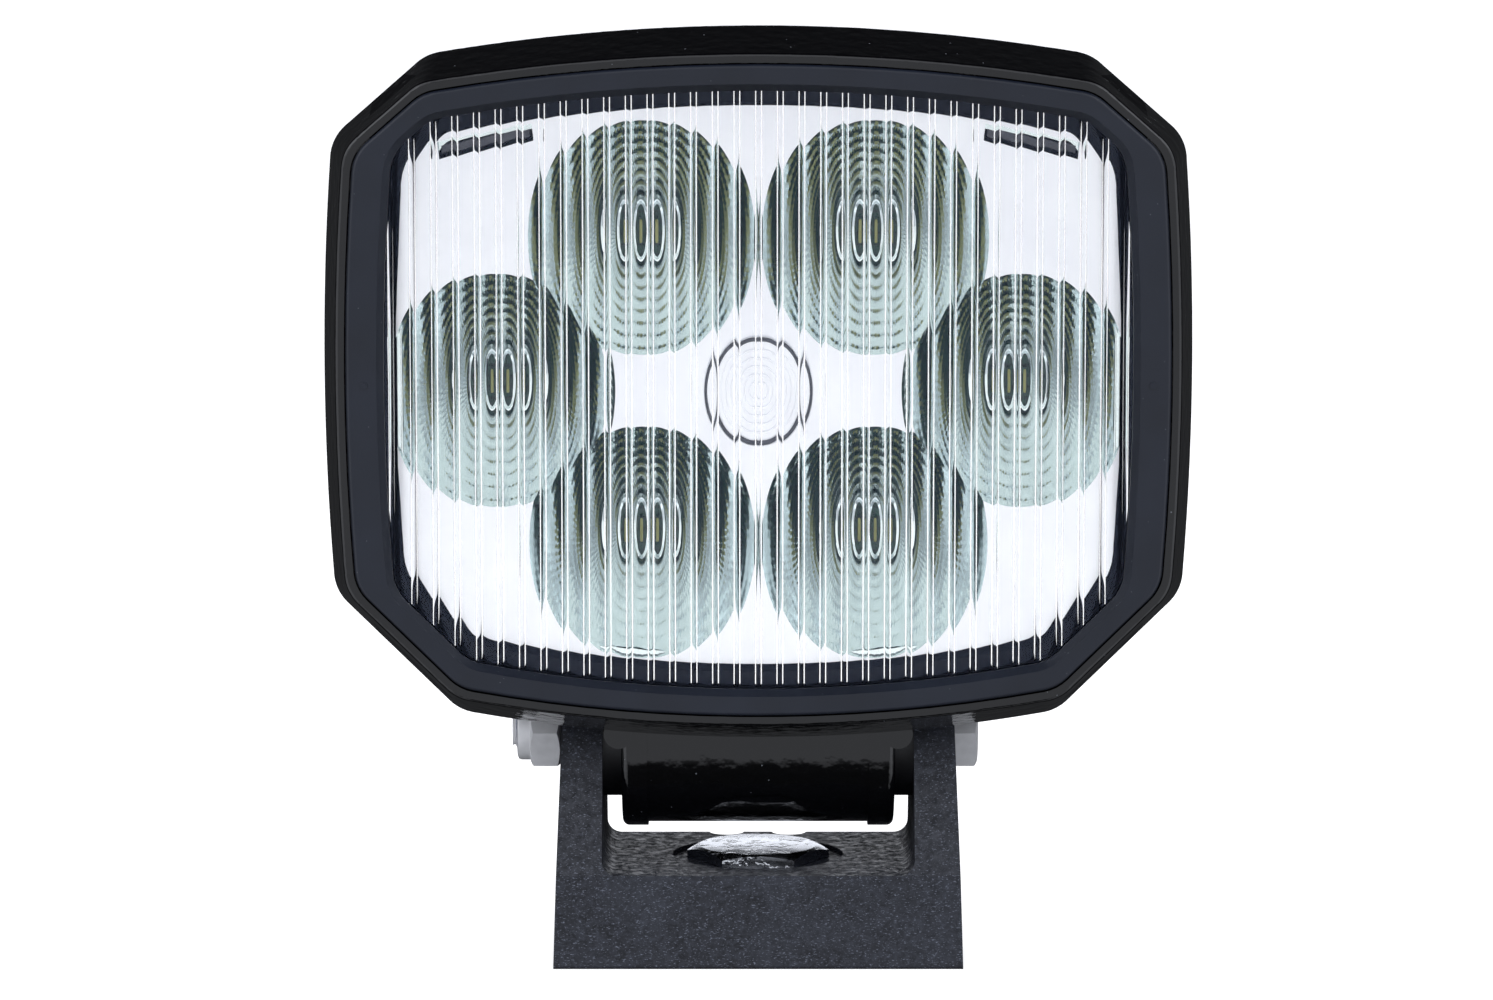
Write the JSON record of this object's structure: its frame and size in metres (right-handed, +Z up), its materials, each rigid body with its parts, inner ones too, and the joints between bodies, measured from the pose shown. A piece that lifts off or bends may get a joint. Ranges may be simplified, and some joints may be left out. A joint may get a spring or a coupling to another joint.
{
  "type": "fog light",
  "caption": "Rounded rectangular LED fog light with a clear lens ribbed inside, finned black housing, and a U bracket that it tilts in, on a bolt.",
  "frame": {"origin": "on the underside of the bracket, on the axis of the mounting bolt", "axes": "+Z up, the lens faces -Y, the tilt axis runs along X"},
  "size_m": [0.1162, 0.0575, 0.1497],
  "materials": {
    "powder_coat": "gloss black powder coat with a fine orange-peel texture, on die-cast aluminium",
    "bezel_plastic": "satin moulded plastic, blue-black",
    "bracket_plastic": "matte glass-filled moulded plastic",
    "clear_lens": "clear moulded polycarbonate with vertical ribs",
    "metallised": "vacuum-metallised plastic, near mirror",
    "stainless": "stainless steel, turned and pressed",
    "zinc_steel": "zinc-plated steel",
    "board_green": "green solder mask",
    "phosphor": "yellow phosphor on a small carrier",
    "black_plastic": "moulded black plastic",
    "seal_rubber": "black silicone rubber",
    "pad_grey": "grey thermal gap filler",
    "nylon": "nylon",
    "tinned_brass": "tin-plated brass",
    "can_aluminium": "plain aluminium cans",
    "ferrite": "moulded ferrite"
  },
  "bodies": {
    "bracket": {"bracket": "bracket_plastic", "base_sleeve": "zinc_steel", "mounting_bolt": "stainless", "pivot_bolt": "stainless", "pivot_nut": "stainless", "nut_ring": "nylon", "friction_washer_left": "black_plastic", "friction_washer_right": "black_plastic"},
    "head": {"housing": "powder_coat", "bezel": "bezel_plastic", "lens": "clear_lens", "lens_gasket": "seal_rubber", "reflector": "metallised", "centre_disc": "metallised", "reflector_clips": "stainless", "led_board": "board_green", "leds": "phosphor", "thermal_pad": "pad_grey", "led_board_screws": "zinc_steel", "driver_board": "board_green", "driver_screws": "zinc_steel", "inductor": "ferrite", "capacitors": "can_aluminium", "driver_chips": "black_plastic", "board_header": "black_plastic", "bezel_screws": "stainless", "vent_membrane": "nylon", "vent_cap": "black_plastic", "socket_seal": "seal_rubber", "power_socket": "black_plastic", "socket_pins": "tinned_brass", "socket_screws": "stainless", "pivot_sleeve": "zinc_steel"}
  },
  "joints": [
    {"name": "tilt", "type": "hinge", "parent": "bracket", "child": "head", "pos_m": [0, 0, 0.0306], "axis": [1, 0, 0], "range_deg": [-80, 30]}
  ]
}
